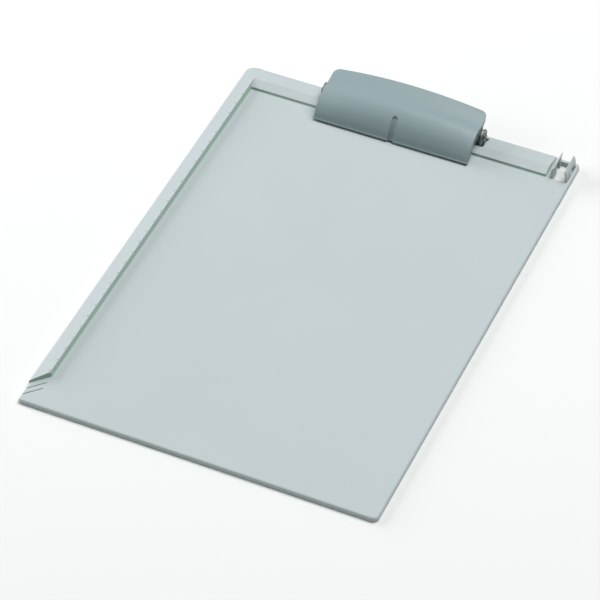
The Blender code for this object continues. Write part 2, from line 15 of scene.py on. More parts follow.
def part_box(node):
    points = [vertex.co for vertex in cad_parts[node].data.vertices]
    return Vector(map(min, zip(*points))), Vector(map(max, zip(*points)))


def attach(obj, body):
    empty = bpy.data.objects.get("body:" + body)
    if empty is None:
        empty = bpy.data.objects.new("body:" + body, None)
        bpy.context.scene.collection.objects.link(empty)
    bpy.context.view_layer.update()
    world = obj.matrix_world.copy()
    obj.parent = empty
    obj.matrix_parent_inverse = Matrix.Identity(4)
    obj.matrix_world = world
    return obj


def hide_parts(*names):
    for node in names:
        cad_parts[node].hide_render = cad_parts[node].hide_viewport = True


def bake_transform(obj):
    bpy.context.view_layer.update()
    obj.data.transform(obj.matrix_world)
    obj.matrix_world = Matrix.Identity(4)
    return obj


bl_info = {
    "name": "A4 Clipboard",
    "version": (1, 0, 0),
    "blender": (4, 5, 0),
    "location": "3D View > Sidebar > Clipboard",
    "description": "Builds an A4 clipboard with a sprung lever clip and a pen holder",
    "category": "Add Mesh",
}

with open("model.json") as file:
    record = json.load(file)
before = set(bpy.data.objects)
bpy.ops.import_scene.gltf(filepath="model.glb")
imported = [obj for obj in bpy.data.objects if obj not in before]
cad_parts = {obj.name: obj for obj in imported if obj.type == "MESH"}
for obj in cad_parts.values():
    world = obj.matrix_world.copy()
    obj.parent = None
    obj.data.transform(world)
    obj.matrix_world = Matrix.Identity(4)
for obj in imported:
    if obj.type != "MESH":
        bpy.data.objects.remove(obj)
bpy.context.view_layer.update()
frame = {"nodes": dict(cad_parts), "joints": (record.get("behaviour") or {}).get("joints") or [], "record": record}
MM = 0.001

BOARD_LOW, BOARD_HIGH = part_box("board")
LEVER_LOW, LEVER_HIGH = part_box("clip_lever")
STRIP_LOW, STRIP_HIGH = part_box("grip_strip")
BRACKET_LOW, BRACKET_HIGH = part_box("hinge_bracket")
LEAF_LEFT_LOW, LEAF_LEFT_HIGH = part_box("pen_leaf_left")
LEAF_RIGHT_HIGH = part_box("pen_leaf_right")[1]
PIVOT = Vector(next(joint["pos_m"] for joint in frame["joints"] if joint["name"] == "clip_pivot"))
PEN_X = (LEAF_LEFT_LOW.x + LEAF_RIGHT_HIGH.x) / 2
MOUNTS = {mount["name"]: mount["pos_m"] for mount in frame["record"]["mounts"]}
SURFACE_Z = MOUNTS["writing_surface"][2]


def length(name, description, default):
    """A length that the sidebar shows in the scene's units."""
    return bpy.props.FloatProperty(
        name=name, description=description, default=default, unit="LENGTH"
    )


def tint(name, description, default):
    """A colour that the sidebar shows as a swatch."""
    return bpy.props.FloatVectorProperty(
        name=name, description=description, default=default, subtype="COLOR", size=3
    )


class BoardSizes(bpy.types.PropertyGroup):
    """Sizes of the moulded board."""

    wall_foot: length("Rail Wall Foot", "From the board's left edge", 10.3 * MM)
    wall_draft: length("Rail Wall Draft", "How far the rail's inner wall leans", 0.8 * MM)
    rail_outer: length("Rail Outer Height", "Height of the rail's outer edge", 5.0 * MM)
    step_foot: length("Header Step Foot", "From the board's rear edge", 20.1 * MM)
    step_draft: length("Header Step Draft", "How far the header's step leans", 0.5 * MM)
    step_top: length("Header Step Height", "Height of the header's step", 5.1 * MM)
    ridge: length("Header Ridge", "From the board's rear edge", 13.5 * MM)
    rear_top: length("Rear Edge Height", "Height of the header's rear edge", 4.1 * MM)
    header_end: length("Header End", "From the board's right edge", 16.3 * MM)
    rail_end: length("Rail End", "Where the rail's 45 degree end crosses x = 0", -32.25 * MM)
    edge_radius: length("Edge Radius", "Radius of the moulding's edges", 0.32 * MM)
    mark_step: length("Scale Step", "Distance between the scale's marks", 10.0 * MM)
    marks: bpy.props.IntProperty(
        name="Scale Marks", description="Number of marks on the rail", default=28, min=0
    )


class LeverSizes(bpy.types.PropertyGroup):
    """Sizes of the lever clip."""

    wall: length("Wall", "Thickness of the shell", 2.2 * MM)
    crown: bpy.props.FloatProperty(
        name="Crown",
        description="How much higher the middle stands than the ends",
        default=0.22,
        subtype="FACTOR",
    )
    corner_radius: length("Rear Corner Radius", "Radius of the rear corners", 5.1 * MM)
    rim_radius: length("Rim Radius", "Radius of the shell's rim", 0.55 * MM)
    groove_width: length("Groove Width", "Width of the middle groove", 3.5 * MM)
    groove_depth: length("Groove Depth", "Depth of the middle groove", 1.15 * MM)
    lip_bead: length("Lip Bead", "How far the bead on the lip stands out", 0.25 * MM)
    groove_length: length("Groove Length", "From the lip to the groove's round end", 9.6 * MM)


class Finishes(bpy.types.PropertyGroup):
    """Colours of the materials."""

    board: tint("Board", "Moulded board", (0.436, 0.481, 0.498))
    # The walls get a darker, greener copy of the board's colour: painted shade.
    board_wall: tint("Board Walls", "Polished draft walls", (0.38, 0.50, 0.44))
    lever: tint("Lever", "Moulded lever", (0.238, 0.303, 0.322))
    rubber: tint("Rubber", "Grip strip", (0.018, 0.022, 0.02))
    steel: tint("Steel", "Bracket", (0.30, 0.33, 0.32))
    bright_steel: tint("Bright Steel", "Axle and springs", (0.30, 0.31, 0.29))
    aluminium: tint("Aluminium", "Rivets", (0.72, 0.73, 0.73))


# --------------------------------------------------------------------------------------- materials


class Surface:
    """A material's node tree, with short calls for the nodes that the finishes share."""

    def __init__(self, name):
        self.material = bpy.data.materials.new(name)
        self.material.use_nodes = True
        self.tree = self.material.node_tree
        self.shader = self.tree.nodes["Principled BSDF"]
        self.place = self.tree.nodes.new("ShaderNodeTexCoord").outputs["Object"]

    def stretched(self, scale):
        mapping = self.tree.nodes.new("ShaderNodeMapping")
        mapping.inputs["Scale"].default_value = scale
        self.tree.links.new(self.place, mapping.inputs["Vector"])
        return mapping.outputs["Vector"]

    def noise(self, scale, detail=2.0, roughness=0.5, place=None):
        node = self.tree.nodes.new("ShaderNodeTexNoise")
        node.inputs["Scale"].default_value = scale
        node.inputs["Detail"].default_value = detail
        node.inputs["Roughness"].default_value = roughness
        self.tree.links.new(place or self.place, node.inputs["Vector"])
        return node.outputs["Fac"]

    def spread(self, value, low, high, source=(0.3, 0.7)):
        node = self.tree.nodes.new("ShaderNodeMapRange")
        node.inputs["From Min"].default_value = source[0]
        node.inputs["From Max"].default_value = source[1]
        node.inputs["To Min"].default_value = low
        node.inputs["To Max"].default_value = high
        self.tree.links.new(value, node.inputs["Value"])
        return node.outputs["Result"]

    def mix(self, factor, first, second):
        node = self.tree.nodes.new("ShaderNodeMix")
        node.data_type = "RGBA"
        self.tree.links.new(factor, node.inputs["Factor"])
        for socket, color in (("A", first), ("B", second)):
            target = next(s for s in node.inputs if s.name == socket and s.type == "RGBA")
            if isinstance(color, bpy.types.NodeSocket):
                self.tree.links.new(color, target)
            else:
                target.default_value = (*color, 1.0)
        return next(s for s in node.outputs if s.type == "RGBA")

    def bump(self, height, distance, strength=1.0, below=None):
        node = self.tree.nodes.new("ShaderNodeBump")
        node.inputs["Strength"].default_value = strength
        node.inputs["Distance"].default_value = distance
        self.tree.links.new(height, node.inputs["Height"])
        if below is not None:
            self.tree.links.new(below, node.inputs["Normal"])
        return node.outputs["Normal"]

    def join(self, output, socket):
        self.tree.links.new(output, self.shader.inputs[socket])

    def set(self, **values):
        for socket, value in values.items():
            self.shader.inputs[socket.replace("_", " ")].default_value = value


def shade(color, factor):
    return tuple(min(1.0, channel * factor) for channel in color)


def moulded_plastic(name, color, roughness, grain):
    """Injection-moulded plastic: a spark-eroded grain, a slow drift of tone and a rubbed sheen."""
    surface = Surface(name)
    drift = surface.spread(surface.noise(11.0, 3.0), 0.0, 1.0)
    toned = surface.mix(drift, shade(color, 0.975), shade(color, 1.02))
    speckle = surface.spread(surface.noise(2600.0, 2.0, 0.6), 0.0, 1.0, (0.35, 0.65))
    surface.join(surface.mix(speckle, toned, shade(color, 0.965)), "Base Color")
    rubbed = surface.noise(38.0, 4.0, 0.65)
    surface.join(surface.spread(rubbed, roughness - 0.05, roughness + 0.06), "Roughness")
    fine = surface.bump(surface.noise(3400.0, 3.0, 0.6), grain * MM)
    surface.join(surface.bump(surface.noise(900.0, 2.0), grain * 0.6 * MM, 1.0, fine), "Normal")
    surface.set(Metallic=0.0, IOR=1.48, Specular_IOR_Level=0.42)
    return surface.material


def polished_painted_shade(name, color):
    """A draft wall of the mould, drawn smooth in the direction of release, in a given colour; the board's walls
    and recesses get darker copies of the board's colour as painted shade.
    """
    surface = Surface(name)
    drawn = surface.noise(420.0, 2.0, place=surface.stretched((1.0, 1.0, 0.08)))
    surface.join(surface.mix(drawn, shade(color, 0.93), shade(color, 1.04)), "Base Color")
    surface.join(surface.spread(drawn, 0.34, 0.46), "Roughness")
    surface.join(surface.bump(drawn, 0.01 * MM), "Normal")
    surface.set(Metallic=0.0, IOR=1.48, Specular_IOR_Level=0.35)
    return surface.material


def black_rubber(name, color):
    """Matte extruded rubber with fine lengthwise drawing lines and a trace of dust."""
    surface = Surface(name)
    dust = surface.spread(surface.noise(140.0, 5.0, 0.7), 0.0, 1.0, (0.52, 0.8))
    surface.join(surface.mix(dust, color, shade(color, 2.6)), "Base Color")
    lines = surface.noise(2100.0, 2.0, place=surface.stretched((0.02, 1.0, 1.0)))
    surface.join(surface.spread(lines, 0.72, 0.9), "Roughness")
    surface.join(surface.bump(lines, 0.02 * MM), "Normal")
    surface.set(Metallic=0.0, IOR=1.5, Specular_IOR_Level=0.3)
    return surface.material


def pressed_steel(name, color, roughness, stretch):
    """Plated steel with rolling lines along one direction, a cloudy plate and darker pits."""
    surface = Surface(name)
    lines = surface.noise(1500.0, 3.0, 0.6, surface.stretched(stretch))
    clouds = surface.noise(230.0, 4.0, 0.6)
    toned = surface.mix(surface.spread(clouds, 0.0, 1.0), shade(color, 0.8), shade(color, 1.08))
    pits = surface.spread(surface.noise(1900.0, 2.0), 0.0, 1.0, (0.66, 0.74))
    surface.join(surface.mix(pits, toned, shade(color, 0.45)), "Base Color")
    surface.join(surface.spread(lines, roughness - 0.07, roughness + 0.1), "Roughness")
    surface.join(surface.bump(lines, 0.012 * MM), "Normal")
    surface.set(Metallic=1.0)
    return surface.material


def paper_white(name, color, roughness):
    """Plain matte paper with a barely uneven tone."""
    surface = Surface(name)
    tone = surface.mix(surface.noise(3.0, 2.0), shade(color, 0.995), color)
    surface.join(tone, "Base Color")
    surface.set(Roughness=roughness, Specular_IOR_Level=0.1)
    return surface.material


MATERIALS = {}


def finish(name):
    """The material of that name, made when it is first asked for."""
    if name in MATERIALS:
        return MATERIALS[name]
    finishes = bpy.context.scene.clipboard_finishes
    colors = {key: tuple(getattr(finishes, key)) for key in finishes.__annotations__}
    even = (1.0, 1.0, 1.0)
    makers = {
        "board": lambda: moulded_plastic("board_plastic", colors["board"], 0.52, 0.012),
        # The board's steep walls: its plastic darker and greener, painted shade.
        "wall": lambda: polished_painted_shade("board_wall_plastic", colors["board_wall"]),
        # The scale's marks and the engraved lines: half as bright as the walls, painted shade in the recesses.
        "recess": lambda: polished_painted_shade("board_recess_plastic", shade(colors["board_wall"], 0.5)),
        "lever": lambda: moulded_plastic("lever_plastic", colors["lever"], 0.45, 0.016),
        "rubber": lambda: black_rubber("grip_rubber", colors["rubber"]),
        "steel": lambda: pressed_steel("bracket_steel", colors["steel"], 0.5, (0.06, 1.0, 1.0)),
        "axle": lambda: pressed_steel("axle_steel", colors["bright_steel"], 0.3, (0.05, 1.0, 1.0)),
        "spring": lambda: pressed_steel("spring_steel", colors["bright_steel"], 0.42, even),
        "rivet": lambda: pressed_steel("rivet_aluminium", colors["aluminium"], 0.34, even),
    }
    MATERIALS[name] = makers[name]()
    return MATERIALS[name]


# ---------------------------------------------------------------------------------- modelling aids


def add_mesh(name, bm, *finishes):
    """Turns a closed bmesh into an object at the origin, with its normals pointing out."""
    bmesh.ops.recalc_face_normals(bm, faces=bm.faces)
    return add_mesh_as_is(name, bm, *finishes)


def add_mesh_as_is(name, bm, *finishes):
    """Turns a bmesh into an object and leaves its normals as they are."""
    mesh = bpy.data.meshes.new(name)
    bm.to_mesh(mesh)
    bm.free()
    obj = bpy.data.objects.new(name, mesh)
    bpy.context.scene.collection.objects.link(obj)
    for label in finishes:
        mesh.materials.append(finish(label))
    return obj


def soften(obj, angle):
    """Smooth shading that stays crisp at creases and flat on flat faces."""
    obj.data.shade_smooth()
    obj.data.set_sharp_from_angle(angle=math.radians(angle))
    weights = obj.modifiers.new("flat_faces", "WEIGHTED_NORMAL")
    weights.keep_sharp = True


def ride_as(obj, body, slot, *nodes):
    """The piece moves with a body and stands for its CAD nodes, which it hides. The slot is not used."""
    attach(obj, body)
    if nodes:
        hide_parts(*nodes)


def applied(obj):
    """Replaces the object's mesh with what its modifiers make of it."""
    bpy.context.view_layer.update()
    evaluated = obj.evaluated_get(bpy.context.evaluated_depsgraph_get())
    mesh = bpy.data.meshes.new_from_object(evaluated)
    obj.modifiers.clear()
    obj.data = mesh
    return obj


def combine(obj, other, operation):
    """Cuts or joins one closed mesh with another, which is used up."""
    modifier = obj.modifiers.new(operation.lower(), "BOOLEAN")
    modifier.operation = operation
    modifier.solver = "EXACT"
    modifier.object = other
    applied(obj)
    if not obj.data.polygons:
        raise RuntimeError(f"{obj.name} came out empty after a {operation.lower()}")
    bpy.data.objects.remove(other, do_unlink=True)
    return obj


def box_mesh(low, high, radius=0.0, segments=3):
    """A box between two corners, with its edges rounded."""
    bm = bmesh.new()
    bmesh.ops.create_cube(bm, size=1.0)
    bmesh.ops.scale(bm, vec=Vector(high) - Vector(low), verts=bm.verts)
    bmesh.ops.translate(bm, vec=(Vector(low) + Vector(high)) / 2, verts=bm.verts)
    if radius:
        round_edges(bm, bm.edges[:], radius, segments)
    return bm


def close_sheet(bm, across):
    """Closes an open sheet with its own far side and side walls, always in the same order."""
    sheet = bm.faces[:]
    rim = [edge for edge in bm.edges if edge.is_boundary]
    far = {vert: bm.verts.new(across(vert.co)) for vert in bm.verts[:]}
    for face in sheet:
        bm.faces.new([far[vert] for vert in reversed(face.verts)])
    for edge in rim:
        loop = edge.link_loops[0]
        start, end = loop.vert, loop.link_loop_next.vert
        bm.faces.new((end, start, far[start], far[end]))


def round_edges(bm, edges, radius, segments=3):
    bmesh.ops.bevel(
        bm,
        geom=edges,
        offset=radius,
        offset_type="OFFSET",
        affect="EDGES",
        segments=segments,
        profile=0.5,
        material=-1,
        clamp_overlap=True,
    )


def rod_mesh(start, end, radius, segments=48):
    """A round bar between two points."""
    start = Vector(start)
    run = Vector(end) - start
    bm = bmesh.new()
    sizes = {"segments": segments, "radius1": radius, "radius2": radius, "depth": run.length}
    bmesh.ops.create_cone(bm, cap_ends=True, **sizes)
    turn = Vector((0, 0, 1)).rotation_difference(run).to_matrix()
    bmesh.ops.rotate(bm, cent=(0, 0, 0), matrix=turn, verts=bm.verts)
    bmesh.ops.translate(bm, vec=start + run / 2, verts=bm.verts)
    return bm


def slab_mesh(outline, low_x, high_x):
    """An outline of Y and Z, given thickness along X."""
    bm = bmesh.new()
    bm.faces.new([bm.verts.new((low_x, y, z)) for y, z in outline])
    close_sheet(bm, lambda place: (high_x, place.y, place.z))
    bmesh.ops.recalc_face_normals(bm, faces=bm.faces)
    return bm


def arc(centre, radius, start, end, steps):
    """Points on an arc, with its angles in degrees."""
    angles = [math.radians(start + (end - start) * i / steps) for i in range(steps + 1)]
    return [(centre[0] + radius * math.cos(a), centre[1] + radius * math.sin(a)) for a in angles]


def sharp_edges(bm, angle):
    """Edges where two faces meet at more than an angle, in degrees."""
    bmesh.ops.recalc_face_normals(bm, faces=bm.faces)
    limit = math.radians(angle)
    inner = [edge for edge in bm.edges if len(edge.link_faces) == 2]
    return [edge for edge in inner if edge.calc_face_angle() > limit]


# ------------------------------------------------------------------------------------------- board

CORNER_RADII = {(-1, -1): 2.0 * MM, (1, -1): 3.5 * MM, (1, 1): 3.0 * MM, (-1, 1): 7.2 * MM}
POCKET_DRAFT = 0.3 * MM
POCKET_GAP = 1.7 * MM
POCKET_FRONT_GAP = 0.4 * MM
POCKET_FLOOR_Z = 2.8 * MM
WINDOW_GAP = 0.3 * MM
TOLERANCE = 0.01 * MM
SHOULDER = 1.3 * MM
SHOULDER_STEPS = 5
RAIL_SHOULDER = 0.35
FOLD_ANGLE = 0.4
UNDERSIDE_RADIUS = 0.8 * MM
SHORTEST_ROUNDED = 0.7 * MM

# The board's finishes in the order of its material slots: the plastic, then darker copies of it as painted shade
# on the walls and in the recesses.
BOARD_FINISHES = ("board", "wall", "recess")
WALL_SHADE_SLOT, RECESS_SHADE_SLOT = 1, 2
WALL_SHADE_INSET = 1.0 * MM

MARK_FROM_WALL = 0.95 * MM
MARK_DEPTH = 0.16 * MM
MARK_RADII = (0.42 * MM, 0.5 * MM)
MARK_STRETCH = (1.25, 0.8, 1.0)
MARK_PIN = 1.0 * MM

GROOVE_DIAGONALS = (-37.85 * MM, -43.05 * MM)
GROOVE_SHIFT = 0.2 * MM
GROOVE_RISE = 0.02 * MM
GROOVE_REACH = 6.3 * MM
GROOVE_RADIUS = 0.36 * MM

RIVET_HOLE_RADIUS = 2.1 * MM
COUNTERBORE_RADIUS = 3.9 * MM
COUNTERBORE_TOP = 1.3 * MM
CUTTER_OVERRUN = 1.0 * MM


def distance_inside(x, y):
    """How far a place is from the board's rounded outline."""
    middle = (BOARD_LOW + BOARD_HIGH) / 2
    half = (BOARD_HIGH - BOARD_LOW) / 2
    radius = CORNER_RADII[(1 if x > middle.x else -1, 1 if y > middle.y else -1)]
    gap_x = half.x - abs(x - middle.x)
    gap_y = half.y - abs(y - middle.y)
    if gap_x < radius and gap_y < radius:
        return radius - math.hypot(radius - gap_x, radius - gap_y)
    return min(gap_x, gap_y)


def shoulder_drop(x, y):
    """How far the rounded shoulder falls below the top face."""
    inward = SHOULDER - max(0.0, distance_inside(x, y))
    return SHOULDER - math.sqrt(SHOULDER**2 - inward**2) if inward > TOLERANCE else 0.0


class BoardRelief:
    """Heights of the board's top face, from its sizes and the frame."""

    def __init__(self, sizes):
        self.wall_foot = BOARD_LOW.x + sizes.wall_foot
        self.wall_top = self.wall_foot - sizes.wall_draft
        self.rail_outer = sizes.rail_outer
        self.step_foot = BOARD_HIGH.y - sizes.step_foot
        self.step_edge = self.step_foot + sizes.step_draft
        self.step_top = sizes.step_top
        self.ridge = BOARD_HIGH.y - sizes.ridge
        self.rear_top = sizes.rear_top
        self.header_end = BOARD_HIGH.x - sizes.header_end
        self.header_end_foot = self.header_end + POCKET_DRAFT
        self.rail_end = sizes.rail_end
        self.pocket_x = (BRACKET_LOW.x - POCKET_GAP, BRACKET_HIGH.x + POCKET_GAP)
        self.pocket_y = (BRACKET_LOW.y - POCKET_FRONT_GAP, BRACKET_HIGH.y + POCKET_GAP / 5)
        self.window_x = (LEAF_LEFT_LOW.x - WINDOW_GAP, LEAF_RIGHT_HIGH.x + WINDOW_GAP)
        self.window_y = (LEAF_LEFT_LOW.y - WINDOW_GAP, LEAF_LEFT_HIGH.y + WINDOW_GAP)

    def rail(self, x):
        run = (x - self.wall_top) / (BOARD_LOW.x - self.wall_top)
        return BOARD_HIGH.z + (self.rail_outer - BOARD_HIGH.z) * run

    def header(self, y):
        if y < self.step_edge - TOLERANCE:
            return SURFACE_Z
        if y < self.ridge:
            run = (y - self.step_edge) / (self.ridge - self.step_edge)
            return self.step_top + (BOARD_HIGH.z - self.step_top) * run
        run = (y - self.ridge) / (BOARD_HIGH.y - self.ridge)
        return BOARD_HIGH.z + (self.rear_top - BOARD_HIGH.z) * run

    def in_pocket(self, x, y):
        inset = POCKET_DRAFT - TOLERANCE
        inside_x = self.pocket_x[0] + inset < x < self.pocket_x[1] - inset
        inside_y = self.pocket_y[0] + inset < y < self.pocket_y[1] - inset
        return inside_x and inside_y

    def height(self, x, y):
        base = self.header(y) if x < self.header_end + TOLERANCE else SURFACE_Z
        if x < self.wall_top + TOLERANCE and y - x > self.rail_end - TOLERANCE:
            top = min(self.rail(x), base) if y > self.ridge else self.rail(x)
            return top - RAIL_SHOULDER * shoulder_drop(x, y)
        return POCKET_FLOOR_Z if self.in_pocket(x, y) else base - shoulder_drop(x, y)

    def score_lines(self):
        """The lines that the top face folds along: points and normals of upright planes."""
        drafts = (POCKET_DRAFT, -POCKET_DRAFT)
        pocket_x = [edge + draft for edge, draft in zip(self.pocket_x, drafts)]
        pocket_y = [edge + draft for edge, draft in zip(self.pocket_y, drafts)]
        across = [self.wall_top, self.wall_foot, self.header_end, self.header_end_foot]
        across += [*self.pocket_x, *pocket_x, *self.window_x]
        along = [self.step_foot, self.step_edge, self.ridge]
        along += [*self.pocket_y, *pocket_y, *self.window_y]
        lines = [((x, 0, 0), (1, 0, 0)) for x in across]
        lines += [((0, y, 0), (0, 1, 0)) for y in along]
        ends = (self.rail_end, self.rail_end - POCKET_DRAFT)
        lines += [((0, end, 0), (-1, 1, 0)) for end in ends]
        rail_fall = (BOARD_HIGH.z - self.rail_outer) / (self.wall_top - BOARD_LOW.x)
        rear_fall = (BOARD_HIGH.z - self.rear_top) / (BOARD_HIGH.y - self.ridge)
        lines.append(((self.wall_top, self.ridge, 0), (rail_fall, rear_fall, 0)))
        return lines


def board_plan():
    """The board's outline as one face, with its four corners rounded."""
    bm = bmesh.new()
    bmesh.ops.create_grid(bm, x_segments=1, y_segments=1, size=0.5)
    size = BOARD_HIGH - BOARD_LOW
    bmesh.ops.scale(bm, vec=(size.x, size.y, 1.0), verts=bm.verts)
    middle = (BOARD_LOW + BOARD_HIGH) / 2
    bmesh.ops.translate(bm, vec=(middle.x, middle.y, 0.0), verts=bm.verts)
    for (side_x, side_y), radius in CORNER_RADII.items():
        corner = max(bm.verts, key=lambda vert: vert.co.x * side_x + vert.co.y * side_y)
        bmesh.ops.bevel(
            bm,
            geom=[corner],
            offset=radius,
            offset_type="OFFSET",
            affect="VERTICES",
            segments=12,
            profile=0.5,
            material=-1,
        )
    done = 0.0
    for step in range(1, SHOULDER_STEPS + 1):
        reach = SHOULDER * (1 - math.cos(math.pi / 2 * step / SHOULDER_STEPS))
        middle_face = max(bm.faces, key=lambda face: face.calc_area())
        ring = {"thickness": reach - done, "use_even_offset": True, "use_boundary": True}
        bmesh.ops.inset_region(bm, faces=[middle_face], **ring)
        done = reach
    return bm


def fold_board(relief):
    """The plan is scored along every fold, raised to its heights and made solid underneath."""
    bm = board_plan()
    for point, normal in relief.score_lines():
        everything = bm.verts[:] + bm.edges[:] + bm.faces[:]
        bmesh.ops.bisect_plane(
            bm, geom=everything, dist=TOLERANCE / 100, plane_co=point, plane_no=normal
        )
    window = [
        face
        for face in bm.faces
        if relief.window_x[0] < face.calc_center_median().x < relief.window_x[1]
        and relief.window_y[0] < face.calc_center_median().y < relief.window_y[1]
    ]
    bmesh.ops.delete(bm, geom=window, context="FACES")
    wall_slope = (relief.wall_foot - relief.wall_top) / (BOARD_HIGH.z - SURFACE_Z)
    for vert in bm.verts:
        vert.co.z = relief.height(vert.co.x, vert.co.y)
        on_foot = abs(vert.co.x - relief.wall_foot) < TOLERANCE
        if on_foot and relief.step_foot < vert.co.y < relief.ridge + TOLERANCE:
            vert.co.x -= wall_slope * (vert.co.z - SURFACE_Z)
    bmesh.ops.remove_doubles(bm, verts=bm.verts, dist=TOLERANCE)
    close_sheet(bm, lambda place: (place.x, place.y, 0.0))
    bmesh.ops.recalc_face_normals(bm, faces=bm.faces)
    bmesh.ops.dissolve_limit(
        bm,
        angle_limit=math.radians(FOLD_ANGLE),
        use_dissolve_boundaries=False,
        verts=bm.verts,
        edges=bm.edges,
        delimit=set(),
    )
    return bm


def in_painted_recess_shade(cutter):
    """A cutter leaves the darker recess plastic, painted shade, on the faces that it cuts."""
    for face in cutter.data.polygons:
        face.material_index = RECESS_SHADE_SLOT
    return cutter


def mark_cutter(relief, sizes):
    """One small slot for each centimetre, cut square into the rail's sloping top."""
    bm = bmesh.new()
    x = relief.wall_top - MARK_FROM_WALL
    floor_z = relief.rail(x) - MARK_DEPTH
    low_radius, high_radius = MARK_RADII
    for mark in range(1, sizes.marks + 1):
        y = relief.step_foot - mark * sizes.mark_step
        pin = bmesh.ops.create_cone(
            bm,
            cap_ends=True,
            segments=12,
            radius1=low_radius,
            radius2=high_radius,
            depth=MARK_PIN,
        )
        bmesh.ops.scale(bm, vec=MARK_STRETCH, verts=pin["verts"])
        bmesh.ops.translate(bm, vec=(x, y, floor_z + MARK_PIN / 2), verts=pin["verts"])
    return in_painted_recess_shade(add_mesh("mark_cutter", bm, *BOARD_FINISHES))


def groove_cutter(diagonal, relief):
    """A shallow round-bottomed line across the foot of the rail, at 45 degrees."""
    middle_x = (BOARD_LOW.x + relief.wall_foot) / 2 + GROOVE_SHIFT
    centre = Vector((middle_x, middle_x + diagonal, SURFACE_Z + GROOVE_RISE))
    along = Vector((1, 1, 0)).normalized() * GROOVE_REACH
    bm = rod_mesh(centre - along, centre + along, GROOVE_RADIUS, 16)
    return in_painted_recess_shade(add_mesh("groove_cutter", bm, *BOARD_FINISHES))


def paint_wall_shade(mesh, low_z, inside):
    """Gives the steep walls inside the board's edges a smoother plastic, darker and greener as painted shade."""
    for face in mesh.polygons:
        steep = abs(face.normal.z) < 0.5
        place = face.center
        if face.material_index == 0 and steep and place.z > low_z and inside(place):
            face.material_index = WALL_SHADE_SLOT


class CLIPBOARD_OT_board(bpy.types.Operator):
    """Model the moulded board with its rails, pocket, window and scale"""

    bl_idname = "clipboard.board"
    bl_label = "Board"

    def execute(self, context):
        sizes = context.scene.clipboard_board
        relief = BoardRelief(sizes)
        bm = fold_board(relief)
        underside = [
            edge
            for edge in sharp_edges(bm, 60.0)
            if max(vert.co.z for vert in edge.verts) < TOLERANCE
        ]
        round_edges(bm, underside, UNDERSIDE_RADIUS, 4)
        edges = [edge for edge in sharp_edges(bm, 30.0) if edge.calc_length() > SHORTEST_ROUNDED]
        round_edges(bm, edges, sizes.edge_radius)
        board = add_mesh("board_moulding", bm, *BOARD_FINISHES)
        for diagonal in GROOVE_DIAGONALS:
            combine(board, groove_cutter(diagonal, relief), "DIFFERENCE")
        combine(board, mark_cutter(relief, sizes), "DIFFERENCE")
        for node in ("rivet_left", "rivet_right"):
            low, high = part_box(node)
            centre = (low + high) / 2
            bottom = (centre.x, centre.y, -CUTTER_OVERRUN)
            hole = rod_mesh(bottom, (centre.x, centre.y, BOARD_HIGH.z), RIVET_HOLE_RADIUS)
            combine(board, add_mesh("rivet_hole", hole, "board", "wall"), "DIFFERENCE")
            bore = rod_mesh(bottom, (centre.x, centre.y, COUNTERBORE_TOP), COUNTERBORE_RADIUS)
            combine(board, add_mesh("rivet_counterbore", bore, "board", "wall"), "DIFFERENCE")
        # Painted shade on the steep faces inside the board's outer edges.
        edge_x = (BOARD_LOW.x + WALL_SHADE_INSET, BOARD_HIGH.x - WALL_SHADE_INSET)
        edge_y = (BOARD_LOW.y + WALL_SHADE_INSET, BOARD_HIGH.y - WALL_SHADE_INSET)
        paint_wall_shade(
            board.data,
            SURFACE_Z,
            lambda place: edge_x[0] < place.x < edge_x[1]
            and edge_y[0] < place.y < edge_y[1],
        )
        soften(board, 32.0)
        ride_as(board, "base", "board_plastic", "board")
        return {"FINISHED"}


# -------------------------------------------------------------------------------------- pen holder

LEAF_SECTION = (
    (4.15, 0.3),
    (4.2, 3.7),
    (4.3, 7.0),
    (3.85, 10.0),
    (3.45, 11.5),
    (3.6, 11.9),
    (3.95, 11.8),
    (4.9, 10.2),
    (5.35, 7.0),
    (5.35, 0.3),
)
LEAF_ARCH = ((151.15, -1.0), (157.05, 7.2))
LEAF_ARCH_HALF = 8.0 * MM
LEAF_ARCH_RADIUS = 0.5 * MM
LEAF_RADIUS = 0.22 * MM


class CLIPBOARD_OT_pen_holder(bpy.types.Operator):
    """Model the two leaves that grip a pen"""

    bl_idname = "clipboard.pen_holder"
    bl_label = "Pen Holder"

    def leaf(self, side, name, node, body):
        outline = [(side * offset * MM + PEN_X, z * MM) for offset, z in LEAF_SECTION]
        bm = bmesh.new()
        bm.faces.new([bm.verts.new((x, LEAF_LEFT_LOW.y, z)) for x, z in outline])
        close_sheet(bm, lambda place: (place.x, LEAF_LEFT_HIGH.y, place.z))
        round_edges(bm, sharp_edges(bm, 12.0), LEAF_RADIUS, 4)
        piece = add_mesh(name, bm, "board", "wall")
        (arch_front, arch_low), (arch_rear, arch_top) = LEAF_ARCH
        low = (PEN_X - LEAF_ARCH_HALF, arch_front * MM, arch_low * MM)
        high = (PEN_X + LEAF_ARCH_HALF, arch_rear * MM, arch_top * MM)
        bm = box_mesh(low, high, LEAF_ARCH_RADIUS, 4)
        arch = add_mesh("leaf_arch", bm, "board", "wall")
        combine(piece, arch, "DIFFERENCE")
        soften(piece, 40.0)
        ride_as(piece, body, "board_plastic", node)

    def execute(self, context):
        self.leaf(-1, "pen_leaf_left_moulding", "pen_leaf_left", "leaf_left")
        self.leaf(1, "pen_leaf_right_moulding", "pen_leaf_right", "leaf_right")
        return {"FINISHED"}


# ------------------------------------------------------------------------------------------- lever

